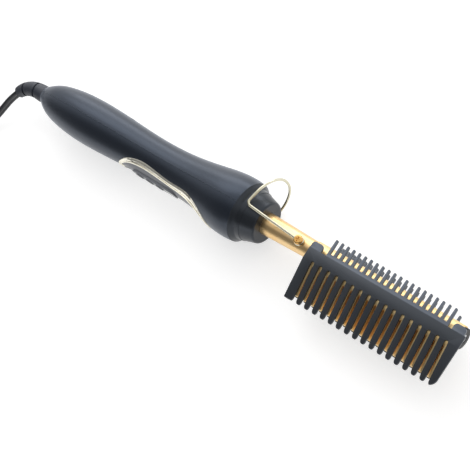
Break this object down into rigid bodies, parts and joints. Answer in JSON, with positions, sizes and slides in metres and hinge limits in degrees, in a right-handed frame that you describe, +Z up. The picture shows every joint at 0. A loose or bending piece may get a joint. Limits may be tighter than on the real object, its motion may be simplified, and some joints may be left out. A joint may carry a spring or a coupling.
{
  "type": "electric hot comb",
  "caption": "Electric hot comb with a waisted handle, gold neck and heated comb under finger guards, a control panel, a folding wire stand and a corded plug.",
  "frame": {"origin": "centre of the bounding box's bottom, without the cord; the comb lies on its side with its axis level", "axes": "+X from the handle's rear to the comb's tip, -Y to the comb's teeth and the controls, +Z up"},
  "size_m": [0.4658, 0.0793, 0.0348],
  "materials": {
    "handle_plastic": "satin charcoal",
    "nose_plastic": "semi-gloss",
    "bush_ceramic": "matte",
    "gold_trim": "satin champagne gold",
    "panel_plastic": "satin light grey",
    "window": "dark glossy",
    "black_plastic": "matte",
    "light_pipe": "glossy",
    "button_plastic": "satin",
    "board": "solder mask",
    "steel": "zinc plated",
    "cord_rubber": "matte black",
    "lead_sleeve": "woven sleeve",
    "gold_brass": "polished gold plating",
    "guard_plastic": "satin slate grey",
    "gold_wire": "polished",
    "pin_metal": "nickel plated"
  },
  "bodies": {
    "comb": {"plain_shell": "handle_plastic", "control_shell": "handle_plastic", "nose_collar": "nose_plastic", "nose_cone": "nose_plastic", "neck_bush": "bush_ceramic", "panel_trim": "gold_trim", "control_panel": "panel_plastic", "display_window": "window", "display_block": "black_plastic", "indicator_light": "light_pipe", "circuit_board": "board", "board_screws": "steel", "board_parts": "black_plastic", "push_switches": "black_plastic", "shell_screws": "steel", "cord_clamp": "black_plastic", "clamp_screws": "steel", "inner_cord": "cord_rubber", "supply_leads": "lead_sleeve", "heater_leads": "lead_sleeve", "neck_tube": "gold_brass", "heated_comb": "gold_brass", "front_guard": "guard_plastic", "back_guard": "guard_plastic", "guard_screws": "steel", "end_cap": "black_plastic", "end_screw": "steel", "heater_rod": "steel", "heater_sleeve": "bush_ceramic", "thermal_fuse": "bush_ceramic", "hinge_washers": "gold_trim", "hinge_screws": "gold_trim", "strain_relief": "cord_rubber", "cord_tube": "cord_rubber", "cord_coil": "cord_rubber", "plug_body": "cord_rubber", "plug_pins": "pin_metal"},
    "wire_stand": {"wire_stand": "gold_wire"},
    "power_button": {"power_button": "button_plastic"},
    "minus_button": {"minus_button": "button_plastic"},
    "plus_button": {"plus_button": "button_plastic"}
  },
  "joints": [
    {"name": "stand_hinge", "type": "hinge", "parent": "comb", "child": "wire_stand", "pos_m": [0.04575, 0.00152, 0.0174], "axis": [0, 0, -1], "range_deg": [-8, 95]},
    {"name": "power_button_press", "type": "slide", "parent": "comb", "child": "power_button", "axis": [0, 1, 0], "range_m": [0, 0.0005], "stiffness_N_per_m": 600},
    {"name": "minus_button_press", "type": "slide", "parent": "comb", "child": "minus_button", "axis": [0, 1, 0], "range_m": [0, 0.0005], "stiffness_N_per_m": 600},
    {"name": "plus_button_press", "type": "slide", "parent": "comb", "child": "plus_button", "axis": [0, 1, 0], "range_m": [0, 0.0005], "stiffness_N_per_m": 600}
  ]
}
